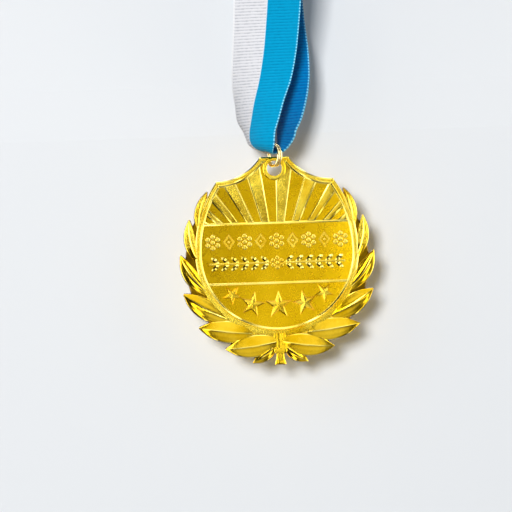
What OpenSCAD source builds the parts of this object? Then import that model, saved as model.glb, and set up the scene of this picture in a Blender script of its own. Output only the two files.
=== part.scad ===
// Award medal cast in gold-coloured zinc alloy, on a split ring and a neck ribbon of two colours.
// It hangs as worn or stored: the inside of the ribbon rests on a round neck at the origin, the medal
// faces -Y, and the two strands of the ribbon meet in the split ring.
// Relief is modelled lying flat, x across, y up the medal and z out of its face, then stood up.

/* [Medal body] */
// Radius of the round body, without the leaves
body_r = 27.1; // [22:0.1:34]
// Thickness of the plate behind the relief
plate_t = 1.5; // [1:0.1:2.5]
// Radius of the long curves that carry the sides up to the shoulders
side_r = 40.9; // [38:0.1:50]
// Height of the top edge above the middle of the body
top_y = 31.6; // [29:0.1:38]
// Radius of the hollow curves beside the ear
hollow_r = 17.5; // [14:0.1:20]
// Half width of the ear at its top edge
ear_half = 4.75; // [4:0.05:7]
// Width of the raised rim
rim_w = 1.9; // [1.2:0.1:2.6]
// Height of the rim above the plate
rim_h = 0.7; // [0.4:0.1:1.2]
// Width that the rim has more at the lowest point of the body
crescent_w = 0.9; // [0.5:0.1:1.2]

/* [Ear and hole] */
// Radius of the hole for the split ring
hole_r = 2.5; // [2.2:0.1:3]
// Wall between the hole and the top edge
web = 1.3; // [1:0.1:2]
// Width of the collar round the hole
collar_w = 1.5; // [1:0.1:2]
// Height of the collar above the plate
collar_h = 0.9; // [0.7:0.1:1.3]

/* [Relief] */
// Width of the two cross bars
bar_w = 0.8; // [0.5:0.1:1.2]
// Height of the upper bar above the middle of the body
upper_bar_y = 9.7; // [7:0.1:12]
// Depth of the lower bar below the middle of the body
lower_bar_y = 10.2; // [8:0.1:12]
// Height of the bars, rays and ornament above the plate
relief_h = 0.45; // [0.3:0.05:0.7]
// Depth of the point where the rays meet, below the middle of the body
sun_y = 6.8; // [5:0.1:9]
// Distance from ray to ray, along the upper bar
ray_pitch = 5.07; // [4:0.01:7]
// Width of a ray at the upper bar
ray_w = 2.6; // [1.5:0.1:3.5]
// Height of the upper row of ornament
rosette_row_y = 3.75; // [3:0.05:5]
// Depth of the lower row of ornament
sprig_row_y = 3.5; // [3:0.05:5]
// Distance from motif to motif in the upper row
motif_pitch = 5.3; // [5:0.1:6.5]
// Size of a motif from its middle to its points
motif_r = 2.7; // [2:0.1:2.8]
// Distance from one pair of small leaves to the next
sprig_pitch = 3.3; // [3:0.1:3.7]
// Height of the stars' points above the plate
star_h = 1; // [0.6:0.1:1.4]

/* [Laurel] */
// Radius that the bed of the leaves has more than the body
bed_more = 3.1; // [1:0.1:3.4]
// Depth of the bed's lower edge below the body's
bed_drop = 6.4; // [2:0.1:6.6]
// Thickness of the bed under the leaves
bed_t = 1.2; // [0.8:0.1:1.8]
// Height of a leaf's edge above the back of the medal
leaf_edge = 1.5; // [1.2:0.1:2.2]
// Height of a leaf's midrib above its edges
leaf_crown = 0.9; // [0.5:0.1:1.4]
// Half width of the tied stem
stem_half = 2.1; // [1.5:0.1:3]
// Depth of the stem's foot below the middle of the body
stem_y = 37.35; // [34:0.05:42]

/* [Split ring] */
// Outside diameter of the split ring
ring_od = 8; // [7.4:0.1:12]
// Diameter of its wire
wire_d = 0.9; // [0.7:0.05:1.1]
// Turn of the ring's plane away from the side view, in degrees
ring_turn = 33; // [15:1:45]

/* [Neck ribbon] */
// Width of the ribbon
ribbon_w = 22; // [18:0.5:26]
// Thickness of the ribbon's wall
ribbon_t = 1; // [1:0.1:1.4]
// Radius of the neck that the ribbon rests on
neck_r = 56; // [50:1:70]
// Drop from the neck rest to the middle of the split ring
drop = 370; // [280:5:450]
// Height of the gathered stretch above the middle of the ring
gather_h = 44; // [38:1:55]

/* [Hidden] */

$fn = 96;
wire_fn = 6;
ring_steps = 16;
sink = 0.3;

// Where the parts meet.
seat_gap = 0.12;
fold_gap = 0.2;
coil_gap = 0.06;
hole_y = top_y - web - hole_r;
ear_t = plate_t + collar_h;
wire_r = wire_d / 2;
coil_half = wire_r + coil_gap / 2;
ring_mid_r = ring_od / 2 - wire_r;
// The hole's upper edge rests on the ring where the wire's inner shoulder leaves the ear's two faces.
// That point lies seat_r from the ring's middle and seat_out to the side of the ring's plane.
seat_out = coil_half + wire_r * sin(30);
seat_r = ring_mid_r - wire_r * cos(30);
seat_run = (ear_t / 2 + seat_out * sin(ring_turn)) / cos(ring_turn);
seat_x = seat_run * sin(ring_turn) + seat_out * cos(ring_turn);
seat_drop = sqrt(pow(hole_r, 2) - pow(seat_x, 2)) - seat_gap;
seat_rise = sqrt(pow(seat_r, 2) - pow(seat_run, 2));
ring_y = hole_y + seat_drop + seat_rise;
medal_z = -drop - ring_y;

// Stands a flat medal up, facing -Y, with the middle of the ear's thickness at y = 0.
module stand_up() {
    translate([0, ear_t / 2, medal_z]) rotate([90, 0, 0]) children();
}

// The outline, set in by a distance: a round body with two long curves up to the shoulders and a
// hollow curve from each shoulder to the ear.
module outline(inset = 0) {
    side_x = side_r - body_r;
    hollow_x = ear_half + sqrt(pow(hollow_r, 2) - pow(hollow_r * 0.56, 2));
    hollow_y = top_y + hollow_r * 0.56;
    circle(r = body_r - inset);
    difference() {
        intersection() {
            translate([-side_x, 0]) circle(r = side_r - inset);
            translate([side_x, 0]) circle(r = side_r - inset);
            translate([-body_r, 1]) square([2 * body_r, top_y - inset - 1]);
        }
        for (side = [-1, 1]) translate([side * hollow_x, hollow_y]) circle(r = hollow_r + inset);
    }
}

// A layer of relief that stands on the plate and is sunk a little into it.
module raised(height) {
    translate([0, 0, plate_t - sink]) linear_extrude(height + sink) children();
}

module rim() {
    raised(rim_h) difference() {
        outline();
        outline(rim_w);
    }
}

// Towards the laurel the rim widens into a crescent. It starts at this share of the body's radius
// below the middle.
crescent_top = 0.25;
module crescent() {
    raised(rim_h) difference() {
        intersection() {
            translate([0, -crescent_w]) circle(r = body_r);
            translate([-body_r, -(2 + crescent_top) * body_r]) square(2 * body_r);
        }
        circle(r = body_r - rim_w / 2);
    }
}

module ear_boss() {
    intersection() {
        translate([0, hole_y, plate_t - sink]) cylinder(r = hole_r + collar_w, h = collar_h + sink);
        linear_extrude(ear_t + sink) outline(rim_w / 4);
    }
}

module bars() {
    raised(relief_h) intersection() {
        outline(rim_w / 2);
        union() {
            translate([-body_r, upper_bar_y - bar_w / 2]) square([2 * body_r, bar_w]);
            translate([-body_r, -lower_bar_y - bar_w / 2]) square([2 * body_r, bar_w]);
        }
    }
}

// Rays are wedges that meet at the sun's middle. The first one right of the axis is off centre.
RAY_COUNT = 10;
ray_shift = 0.3;
module rays() {
    base_y = upper_bar_y + bar_w / 2;
    reach = (top_y + sun_y) / (base_y + sun_y);
    raised(relief_h) intersection() {
        outline(rim_w / 2);
        for (i = [0 : RAY_COUNT - 1]) {
            x = (i - RAY_COUNT / 2 + ray_shift) * ray_pitch;
            polygon([
                [x - ray_w / 2, base_y],
                [x + ray_w / 2, base_y],
                [(x + ray_w / 2) * reach, top_y],
                [(x - ray_w / 2) * reach, top_y]
            ]);
        }
    }
}

PETALS = 6;
module rosette(r) {
    petal_r = r * 0.3;
    circle(r = r * 0.28, $fn = 24);
    for (i = [0 : PETALS - 1]) rotate(90 + i * 360 / PETALS)
        translate([r - petal_r, 0]) circle(r = petal_r, $fn = 24);
}

module lozenge(r) {
    difference() {
        polygon([[r * 0.75, 0], [0, r], [-r * 0.75, 0], [0, -r]]);
        polygon([[r * 0.42, 0], [0, r * 0.56], [-r * 0.42, 0], [0, -r * 0.56]]);
    }
    circle(r = r * 0.17, $fn = 24);
}

// A small laurel leaf from two arcs, its base at the origin and its tip at length along x.
module small_leaf(length, width) {
    arc_r = (length * length + width * width) / (4 * width);
    intersection_for (side = [-1, 1])
        translate([length / 2, side * (arc_r - width / 2)]) circle(r = arc_r, $fn = 48);
}

UPPER_MOTIFS = 9;
SPRIG_PAIRS = 6;
module ornament() {
    stem_w = motif_r * 0.2;
    raised(relief_h) {
        for (i = [0 : UPPER_MOTIFS - 1])
            translate([(i - (UPPER_MOTIFS - 1) / 2) * motif_pitch, rosette_row_y])
                if (i % 2 == 0) rosette(motif_r);
                else lozenge(motif_r);
        translate([0, -sprig_row_y]) {
            rosette(motif_r * 0.85);
            for (side = [0, 1]) mirror([side, 0]) {
                translate([motif_r - stem_w, -stem_w / 2])
                    square([sprig_pitch * SPRIG_PAIRS + stem_w, stem_w]);
                for (i = [0 : SPRIG_PAIRS - 1], up = [-1, 1])
                    translate([motif_r + i * sprig_pitch, 0]) rotate(up * 40)
                        small_leaf(motif_r * 1.35, motif_r * 0.5);
            }
        }
    }
}

// Stars: [across, down, size, tilt], the first three as shares of the body's radius.
STARS = [
    [0, 0.65, 0.148, 0],
    [0.323, 0.631, 0.135, 13],
    [0.565, 0.509, 0.109, 37]
];
module star(r) {
    points = concat(
        [for (i = [0 : 9]) let (s = i % 2 == 0 ? r : r * 0.4)
            [s * sin(i * 36), s * cos(i * 36), plate_t - sink]],
        [[0, 0, plate_t + star_h], [0, 0, plate_t - sink]]
    );
    faces = [for (i = [0 : 9], top = [0, 1])
        top == 1 ? [10, i, (i + 1) % 10] : [11, (i + 1) % 10, i]];
    polyhedron(points, faces);
}
module stars() {
    for (s = STARS, side = [0, 1])
        if (s[0] > 0 || side == 0)
            mirror([side, 0]) translate([s[0] * body_r, -s[1] * body_r]) rotate(s[3]) star(s[2] * body_r);
}

// Leaves of one side from the top to the stem: [base radius, base angle, tip radius, tip angle,
// width, bow, lift]. Radii, width, bow and lift are shares of the body's radius, angles are in
// degrees from the x axis, and a bow bends the leaf outwards.
LEAVES = [
    [0.985, 17, 1.133, 42.4, 0.125, 0.035, 0],
    [0.975, -5, 1.146, 21.9, 0.15, 0.04, 0.004],
    [0.985, -29, 1.185, -0.4, 0.19, 0.04, 0.008],
    [1.03, -51, 1.258, -22.5, 0.25, 0.02, 0.013],
    [1.045, -71, 1.336, -42.4, 0.265, 0.01, 0.019],
    [1.1, -87.7, 1.347, -60.3, 0.265, 0.015, 0.026],
    [1.13, -87, 1.391, -75.9, 0.15, 0.02, 0.01]
];
// Half width and crown along a leaf, as shares: [along, half width, crown].
LEAF_FORM = [
    [0, 0.45, 0.3],
    [0.16, 0.8, 0.75],
    [0.38, 1, 1],
    [0.6, 0.93, 0.95],
    [0.78, 0.68, 0.75],
    [0.92, 0.3, 0.4],
    [1, 0.04, 0.1]
];
leaf_back = 0.2;
back_step = 0.06;
function polar(r, a) = [r * cos(a), r * sin(a)];
// The five corners of a leaf's section at one row of its form.
function leaf_section(base, tip, width, bow, lift, back, row) =
    let (
        run = tip - base,
        along = run / norm(run),
        out = [along[1], -along[0]],
        mid = base + run * row[0] + out * bow * 4 * row[0] * (1 - row[0]),
        half = width / 2 * row[1],
        edge = leaf_edge + lift
    )
    [
        [mid[0] - out[0] * half, mid[1] - out[1] * half, back],
        [mid[0] - out[0] * half, mid[1] - out[1] * half, edge],
        [mid[0], mid[1], edge + leaf_crown * row[2]],
        [mid[0] + out[0] * half, mid[1] + out[1] * half, edge],
        [mid[0] + out[0] * half, mid[1] + out[1] * half, back]
    ];
module leaf(row, back) {
    base = polar(row[0] * body_r, row[1]);
    tip = polar(row[2] * body_r, row[3]);
    points = [for (form = LEAF_FORM)
        each leaf_section(base, tip, row[4] * body_r, row[5] * body_r, row[6] * body_r, back, form)];
    last = 5 * (len(LEAF_FORM) - 1);
    faces = concat(
        [for (i = [0 : len(LEAF_FORM) - 2], j = [0 : 4], half = [0, 1])
            let (a = 5 * i + j, b = 5 * i + (j + 1) % 5)
            half == 0 ? [b + 5, b, a] : [a + 5, b + 5, a]],
        [for (j = [1 : 3]) [0, j, j + 1]],
        [for (j = [1 : 3]) [last, last + j + 1, last + j]]
    );
    polyhedron(points, faces);
}
module leaves() {
    for (i = [0 : len(LEAVES) - 1], side = [0, 1])
        mirror([side, 0]) leaf(LEAVES[i], leaf_back + back_step * (i + 1));
}

// The bed is a disc set lower than the body. It fills the gaps between the leaves and the rim.
bed_r = body_r + bed_more;
bed_back = leaf_back / 2;
module laurel_bed() {
    translate([0, bed_more - bed_drop, bed_back]) cylinder(r = bed_r, h = bed_t);
}

// Half widths of the tied stem down its length, as shares: [down, half width].
STEM = [[0, 1], [0.36, 0.9], [0.48, 0.95], [0.52, 1.12], [0.6, 1.05], [0.66, 0.6], [1, 0.9]];
stem_top = 27;
stem_back = leaf_back / 4;
stem_t = 2.6;
module stem() {
    length = stem_y - stem_top;
    notch_r = stem_half;
    translate([0, 0, stem_back]) linear_extrude(stem_t - stem_back) difference() {
        polygon(concat(
            [for (row = STEM) [row[1] * stem_half, -stem_top - row[0] * length]],
            [for (i = [len(STEM) - 1 : -1 : 0]) [-STEM[i][1] * stem_half, -stem_top - STEM[i][0] * length]]
        ));
        translate([0, -stem_y - notch_r * 0.75]) circle(r = notch_r);
    }
}

module shield() {
    linear_extrude(plate_t) outline();
    rim();
    crescent();
    bars();
    rays();
    ornament();
    stars();
    ear_boss();
}
module medallion() {
    color("goldenrod") stand_up() difference() {
        union() {
            shield();
            laurel_bed();
            leaves();
            stem();
        }
        translate([0, hole_y, -1]) cylinder(r = hole_r, h = ear_t + 2);
    }
}

// The split ring's plane holds the z axis and this direction, which points to the front right.
ring_dir = [sin(ring_turn), -cos(ring_turn), 0];
ring_axis = [cos(ring_turn), sin(ring_turn), 0];
up = [0, 0, 1];
ring_mid = [0, 0, -drop];
// The wire makes almost two turns and crosses from one coil to the other beside its ends.
split_at = 250;
cross_span = 50;
function smooth(t) = let (c = min(max(t, 0), 1)) c * c * (3 - 2 * c);
function coil_side(turned) = coil_half * (2 * smooth((turned - 360) / cross_span + 0.5) - 1);
function wire_point(turned, around) =
    let (
        angle = turned + split_at,
        out = sin(angle) * ring_dir - cos(angle) * up,
        r = ring_mid_r + wire_r * cos(around)
    )
    ring_mid + r * out + (coil_side(turned) + wire_r * sin(around)) * ring_axis;
module split_ring() {
    first = cross_span / 2;
    span = 720 - cross_span;
    stations = ceil(span / 360 * ring_steps);
    points = [for (i = [0 : stations], j = [0 : wire_fn - 1])
        wire_point(first + span * i / stations, (j + 0.5) * 360 / wire_fn)];
    last = wire_fn * stations;
    faces = concat(
        [for (i = [0 : stations - 1], j = [0 : wire_fn - 1], half = [0, 1])
            let (a = wire_fn * i + j, b = wire_fn * i + (j + 1) % wire_fn)
            half == 0 ? [b + wire_fn, b, a] : [a + wire_fn, b + wire_fn, a]],
        [[for (j = [0 : wire_fn - 1]) j]],
        [[for (j = [wire_fn - 1 : -1 : 0]) last + j]]
    );
    color("khaki") polyhedron(points, faces);
}

// One row for each section of the gathered stretch: [height, across, forward, turn, curl]. Height
// is a share of gather_h, across and forward are shares of ribbon_w for the middle of the width,
// turn is the angle of the width from the front view and curl is how far each half bends on.
FRONT_STRAND = [
    [0.12, -0.345, 0.05, 66, 50],
    [0.18, -0.346, 0.068, 60, 44],
    [0.25, -0.323, 0.1, 51, 34],
    [0.4, -0.264, 0.15, 40, 27],
    [0.55, -0.186, 0.2, 26, 18],
    [0.75, -0.11, 0.275, 15, 11],
    [1, -0.05, 0.364, 6, 5]
];
BACK_STRAND = [
    [0.17, 0.064, -0.236, 57, 1],
    [0.25, 0.091, -0.24, 50, 2],
    [0.4, 0.123, -0.25, 40, 4],
    [0.55, 0.132, -0.273, 30, 4],
    [0.75, 0.1, -0.314, 16, 3],
    [1, 0.045, -0.368, 6, 1]
];
half_samples = 6;
ACROSS = [for (i = [-half_samples : half_samples]) i / half_samples];
// The selvedges lie this many degrees round the ring from its top.
fold_spread = 75;
fold_r = ring_mid_r - wire_r - fold_gap - ribbon_t / 2;
// How each strand's cloth leaves the ring: [lead, sag, belly, tuck]. It runs out sideways by lead,
// hangs by sag and comes to its first row from below by belly. By tuck, the white half stays higher
// and nearer the ring.
FRONT_SCOOP = [3.6, 2.4, 0.82, 0.75];
BACK_SCOOP = [2.4, 1.3, 0.36, 0];

// A point of the ribbon's middle surface, u from -1 at the white selvedge to 1 at the blue one.
function bent_x(row, u) = (sin(row[3]) - sin(row[3] - row[4] * u)) / (row[4] * PI / 180);
function bent_y(row, u) = (cos(row[3] - row[4] * u) - cos(row[3])) / (row[4] * PI / 180);
function row_point(row, u) = [
    row[1] * ribbon_w + ribbon_w / 2 * bent_x(row, u),
    -row[2] * ribbon_w - ribbon_w / 2 * bent_y(row, u),
    row[0] * gather_h - drop
];
function fold_point(u) = ring_mid + fold_r * (sin(fold_spread * u) * ring_dir + cos(fold_spread * u) * up);
function bezier(a, b, c, d, t) =
    pow(1 - t, 3) * a + 3 * pow(1 - t, 2) * t * b + 3 * (1 - t) * t * t * c + pow(t, 3) * d;
// The cloth leaves the ring sideways, sags a little and then turns up into its strand.
function scoop_point(row, side, u, t) =
    let (
        form = side < 0 ? FRONT_SCOOP : BACK_SCOOP,
        start = fold_point(u),
        end = row_point(row, u),
        held = form[3] * pow(max(-u, 0), 1.5),
        out = side * form[0] * (1 - held / 2) * ring_axis,
        drop_out = form[1] * (1 - held) * cos(60 * u) * up
    )
    bezier(start, start + out - drop_out, end - form[2] * (1 - held) * (end[2] - start[2]) * up, end, t);

// The strand leaves its last row on a line that is tangent to the neck.
neck_path_r = neck_r + ribbon_t / 2;
function tangent_angle(row) =
    let (
        y = abs(row[2]) * ribbon_w,
        down = drop - neck_r - row[0] * gather_h
    )
    atan2(y, down) + acos(neck_path_r / norm([y, down]));
function neck_point(side, angle, u) =
    [ribbon_w / 2 * u, side * neck_path_r * sin(angle), -neck_r - neck_path_r * cos(angle)];
SCOOP_STEPS = 6;
LINE_STEPS = 3;
NECK_STEPS = 11;
// The sections of one strand, from the ring up to just before the top of the neck.
function strand(rows, side) =
    let (
        last = rows[len(rows) - 1],
        leaves_at = tangent_angle(last)
    )
    concat(
        [for (i = [1 : SCOOP_STEPS - 1]) [for (u = ACROSS) scoop_point(rows[0], side, u, i / SCOOP_STEPS)]],
        [for (row = rows) [for (u = ACROSS) row_point(row, u)]],
        [for (i = [1 : LINE_STEPS - 1]) let (t = i / LINE_STEPS)
            [for (u = ACROSS) (1 - t) * row_point(last, u) + t * neck_point(side, leaves_at, u)]],
        [for (i = [0 : NECK_STEPS - 1]) let (angle = leaves_at + (180 - leaves_at) * i / NECK_STEPS)
            [for (u = ACROSS) neck_point(side, angle, u)]]
    );
function reversed(list) = [for (i = [len(list) - 1 : -1 : 0]) list[i]];
RIBBON = concat(
    [[for (u = ACROSS) fold_point(u)]],
    strand(FRONT_STRAND, -1),
    [[for (u = ACROSS) neck_point(1, 180, u)]],
    reversed(strand(BACK_STRAND, 1))
);
// Unit normal of the middle surface at station i and sample j.
function ribbon_normal(i, j) =
    let (
        n = len(RIBBON),
        k = len(ACROSS),
        along = RIBBON[(i + 1) % n][j] - RIBBON[(i + n - 1) % n][j],
        across = RIBBON[i][min(j + 1, k - 1)] - RIBBON[i][max(j - 1, 0)],
        normal = cross(along, across)
    )
    normal / norm(normal);
module neck_ribbon() {
    n = len(RIBBON);
    k = len(ACROSS);
    ring = 2 * k;
    points = [for (i = [0 : n - 1]) each concat(
        [for (j = [0 : k - 1]) RIBBON[i][j] + ribbon_t / 2 * ribbon_normal(i, j)],
        [for (j = [k - 1 : -1 : 0]) RIBBON[i][j] - ribbon_t / 2 * ribbon_normal(i, j)]
    )];
    faces = [for (i = [0 : n - 1], j = [0 : ring - 1], half = [0, 1])
        let (
            next = ((i + 1) % n) * ring,
            a = i * ring + j,
            b = i * ring + (j + 1) % ring,
            c = next + (j + 1) % ring,
            d = next + j
        )
        half == 0 ? [a, b, c] : [a, c, d]];
    color("deepskyblue") polyhedron(points, faces);
}

medallion();
split_ring();
neck_ribbon();
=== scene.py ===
# %% [markdown]
# # An award medallion on a neck ribbon
# The real object is a flat medal, cast in zinc alloy and plated in bright gold. It hangs by a
# small split ring from a ribbon that is white in one half and light blue in the other. The CAD
# model gives the sizes, and this script dresses it: every piece is built in millimetres from the
# same named sizes and then scaled to metres, so that it lies exactly where the CAD model has it.

# %% The frame and the tools
import math

import bmesh
import bpy
import numpy as np
from mathutils import Matrix, Vector


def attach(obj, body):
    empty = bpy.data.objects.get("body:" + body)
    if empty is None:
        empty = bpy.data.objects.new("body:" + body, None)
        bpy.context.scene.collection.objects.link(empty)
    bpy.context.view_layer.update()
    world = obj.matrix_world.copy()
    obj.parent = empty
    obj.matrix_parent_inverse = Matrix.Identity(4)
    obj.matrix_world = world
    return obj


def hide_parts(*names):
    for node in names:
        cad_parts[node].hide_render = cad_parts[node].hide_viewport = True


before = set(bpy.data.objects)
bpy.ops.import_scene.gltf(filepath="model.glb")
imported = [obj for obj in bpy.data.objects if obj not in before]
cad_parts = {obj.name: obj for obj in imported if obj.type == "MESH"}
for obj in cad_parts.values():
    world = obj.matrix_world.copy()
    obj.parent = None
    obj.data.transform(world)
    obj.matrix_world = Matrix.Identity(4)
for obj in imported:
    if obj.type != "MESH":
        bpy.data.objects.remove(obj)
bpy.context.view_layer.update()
MM = 0.001

# %% [markdown]
# ## Sizes that place the medal
# The medal hangs from the ring, and the ring from the ribbon, whose neck rest is the origin. The
# relief is drawn as on a sheet of paper: x across, y up from the middle of the round body and z
# out of the face. `stood` turns such a point into a place in the frame, where the face looks
# along -Y. The top of the ear's hole bears on the ring's wire, and the seat sizes say how far
# down that is.

# %% Medal, ring and drop
BODY_R, SIDE_R, TOP_Y, HOLLOW_R, HOLLOW_RISE, EAR_HALF = 27.1, 40.9, 31.6, 17.5, 0.56, 4.75
PLATE_T, RIM_W, RIM_H, RELIEF_H, SINK = 1.5, 1.9, 0.7, 0.45, 0.3
HOLE_R, HOLE_Y, COLLAR_W, EAR_T = 2.5, 27.8, 1.5, 2.4
RING_TURN, WIRE_R, RING_MID_R, COIL_HALF = math.radians(33), 0.45, 3.55, 0.48
DROP, SEAT_GAP, SEAT_LEAN = 370.0, 0.12, math.radians(30)
SEAT_OUT = COIL_HALF + WIRE_R * math.sin(SEAT_LEAN)
SEAT_R = RING_MID_R - WIRE_R * math.cos(SEAT_LEAN)
SEAT_RUN = (EAR_T / 2 + SEAT_OUT * math.sin(RING_TURN)) / math.cos(RING_TURN)
SEAT_X = SEAT_RUN * math.sin(RING_TURN) + SEAT_OUT * math.cos(RING_TURN)
SEAT_DROP = math.sqrt(HOLE_R**2 - SEAT_X**2) - SEAT_GAP
MEDAL_Z = -DROP - HOLE_Y - SEAT_DROP - math.sqrt(SEAT_R**2 - SEAT_RUN**2)


def stood(x, y, z):
    return Vector((x, EAR_T / 2 - z, y + MEDAL_Z))


print(f"middle of the medal's body at z = {MEDAL_Z:.2f} mm")

# %% [markdown]
# ## Camera
# The photograph is taken straight from the front with a long lens, and the medal hangs turned by
# about two degrees in it. The model stays upright, and the camera is rolled instead. One pixel is
# a third of a millimetre at the medal, which gives the lens, and the camera is moved to the side
# and up until the middle of the medal falls on its own pixel.

# %% Camera
PIXEL_MM, IMAGE_PX, SENSOR_MM = 0.332, 512, 36.0
MEDAL_PX, CAMERA_AWAY, ROLL = (277, 252), 900.0, math.radians(1.9)

right = Vector((math.cos(ROLL), 0, -math.sin(ROLL)))
upward = Vector((math.sin(ROLL), 0, math.cos(ROLL)))
shift_x = (MEDAL_PX[0] - IMAGE_PX / 2) * PIXEL_MM
shift_y = (IMAGE_PX / 2 - MEDAL_PX[1]) * PIXEL_MM
eye = stood(0, 0, PLATE_T) - right * shift_x - upward * shift_y + Vector((0, -CAMERA_AWAY, 0))
facing = Matrix((right, upward, (0, -1, 0))).transposed().to_4x4()
camera = bpy.data.objects.new("camera", bpy.data.cameras.new("camera"))
camera.data.sensor_width = SENSOR_MM
camera.data.lens = SENSOR_MM * CAMERA_AWAY / (IMAGE_PX * PIXEL_MM)
camera.matrix_world = Matrix.Translation(eye * MM) @ facing
bpy.context.scene.collection.objects.link(camera)
bpy.context.scene.camera = camera
bpy.context.scene.view_settings.view_transform = "Standard"
print(f"lens {camera.data.lens:.0f} mm, camera at {tuple(round(v * MM, 4) for v in eye)} m")

# %% [markdown]
# ## Helpers for meshes
# Most pieces are lofts: rows of points, each row the same length, joined by quads. A loft can be
# closed across (each row is a loop) and along (the last row meets the first), and an open end of
# a closed row can be capped. `set_sharp_from_angle` keeps crisp edges crisp while the rest is
# shaded smooth. All pieces of the casting ride on the medal and stand for the same CAD node.


# %% Lofts
def loft(rows, loop=True, ring=False, caps=(False, False)):
    points = [p for row in rows for p in row]
    n, m = len(rows), len(rows[0])
    faces = []
    for i in range(n if ring else n - 1):
        a, b = i * m, (i + 1) % n * m
        for j in range(m if loop else m - 1):
            k = (j + 1) % m
            faces.append((a + j, a + k, b + k, b + j))
    if caps[0]:
        faces.append(tuple(range(m - 1, -1, -1)))
    if caps[1]:
        faces.append(tuple((n - 1) * m + j for j in range(m)))
    return points, faces


def joined(parts):
    points, faces = [], []
    for part_points, part_faces in parts:
        start = len(points)
        points += part_points
        faces += [tuple(start + i for i in face) for face in part_faces]
    return points, faces


# %% Pieces
def made(name, shape, finish, body, node, sharp=35):
    mesh = bpy.data.meshes.new(name)
    mesh.from_pydata([Vector(p) * MM for p in shape[0]], [], shape[1])
    work = bmesh.new()
    work.from_mesh(mesh)
    bmesh.ops.recalc_face_normals(work, faces=work.faces)
    work.to_mesh(mesh)
    work.free()
    mesh.shade_smooth()
    mesh.set_sharp_from_angle(angle=math.radians(sharp))
    mesh.materials.append(finish)
    piece = bpy.data.objects.new(name, mesh)
    bpy.context.scene.collection.objects.link(piece)
    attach(piece, body)
    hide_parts(node)
    print(f"{name}: {len(mesh.vertices)} points, {len(mesh.polygons)} faces")
    return piece


def cast(name, shape, finish, sharp=35):
    return made(name, shape, finish, "medal", "medallion", sharp)


# %% [markdown]
# ## Helpers for shaders
# A shader tree is a set of nodes and links. `add` makes a node and fills in its plain values,
# `wire` joins an output to an input by name or by number, and `group` starts a node group with
# named sockets. Numbers are needed where a node has several sockets of one name, such as the A
# and B of a Mix.


# %% Nodes and links
def add(tree, kind, values=(), **settings):
    node = tree.nodes.new("ShaderNode" + kind)
    for key, value in settings.items():
        setattr(node, key, value)
    for key, value in dict(values).items():
        node.inputs[key].default_value = value
    return node


def wire(tree, source, output, target, entry):
    tree.links.new(source.outputs[output], target.inputs[entry])


def group(name, entries, results):
    tree = bpy.data.node_groups.new(name, "ShaderNodeTree")
    for label, kind, value in entries:
        socket = tree.interface.new_socket(label, in_out="INPUT", socket_type="NodeSocket" + kind)
        if value is not None:
            socket.default_value = value
    for label, kind in results:
        tree.interface.new_socket(label, in_out="OUTPUT", socket_type="NodeSocket" + kind)
    return tree, tree.nodes.new("NodeGroupInput"), tree.nodes.new("NodeGroupOutput")


# %% [markdown]
# ## Effects that several finishes share
# A zinc casting keeps a fine grain from its mould, and the plating follows it. Grain is a height
# for a bump and a mask of the specks that stand highest. The plating's tone drifts between a
# lighter and a deeper gold over a centimetre or so, and handling leaves faint smudges. Both could
# be painted on an image, but noise in the piece's own coordinates needs no unwrapping and has no
# seams. They are node groups, because every gold finish uses them with its own values.

# %% Cast grain
grain, g_in, g_out = group(
    "cast_grain",
    [("Place", "Vector", None), ("Scale", "Float", 2500.0), ("Coarse", "Float", 0.5)],
    [("Height", "Float"), ("Speck", "Float")],
)
fine = add(grain, "TexNoise", {"Detail": 3.0, "Roughness": 0.6})
wide = add(grain, "TexNoise", {"Detail": 2.0})
third = add(grain, "Math", {1: 0.3}, operation="MULTIPLY")
blend = add(grain, "Mix", data_type="FLOAT")
speck = add(grain, "MapRange", {"From Min": 0.52, "From Max": 0.68})
wire(grain, g_in, "Place", fine, "Vector")
wire(grain, g_in, "Place", wide, "Vector")
wire(grain, g_in, "Scale", fine, "Scale")
wire(grain, g_in, "Scale", third, 0)
wire(grain, third, 0, wide, "Scale")
wire(grain, g_in, "Coarse", blend, 0)
wire(grain, fine, "Fac", blend, 2)
wire(grain, wide, "Fac", blend, 3)
wire(grain, blend, 0, g_out, "Height")
wire(grain, blend, 0, speck, "Value")
wire(grain, speck, "Result", g_out, "Speck")

# %% Plating tone
BLACK, FULL = (0, 0, 0, 1), (1, 1, 1, 1)
tone, t_in, t_out = group(
    "plating_tone",
    [
        ("Place", "Vector", None),
        ("Light", "Color", FULL),
        ("Deep", "Color", BLACK),
        ("Speck", "Float", 0.0),
    ],
    [("Color", "Color"), ("Smudge", "Float")],
)
drift = add(tone, "TexNoise", {"Scale": 110.0, "Detail": 3.0})
drift_range = add(tone, "MapRange", {"From Min": 0.35, "From Max": 0.65})
lift = add(tone, "Math", {1: 0.5}, operation="MULTIPLY_ADD", use_clamp=True)
mix = add(tone, "Mix", data_type="RGBA")
smudge = add(tone, "TexNoise", {"Scale": 320.0, "Detail": 4.0, "Distortion": 0.6})
smudge_range = add(tone, "MapRange", {"From Min": 0.45, "From Max": 0.75})
wire(tone, t_in, "Place", drift, "Vector")
wire(tone, t_in, "Place", smudge, "Vector")
wire(tone, drift, "Fac", drift_range, "Value")
wire(tone, t_in, "Speck", lift, 0)
wire(tone, drift_range, "Result", lift, 2)
wire(tone, lift, 0, mix, 0)
wire(tone, t_in, "Deep", mix, 6)
wire(tone, t_in, "Light", mix, 7)
wire(tone, mix, 2, t_out, "Color")
wire(tone, smudge, "Fac", smudge_range, "Value")
wire(tone, smudge_range, "Result", t_out, "Smudge")
print("groups", [g.name for g in bpy.data.node_groups])

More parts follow.
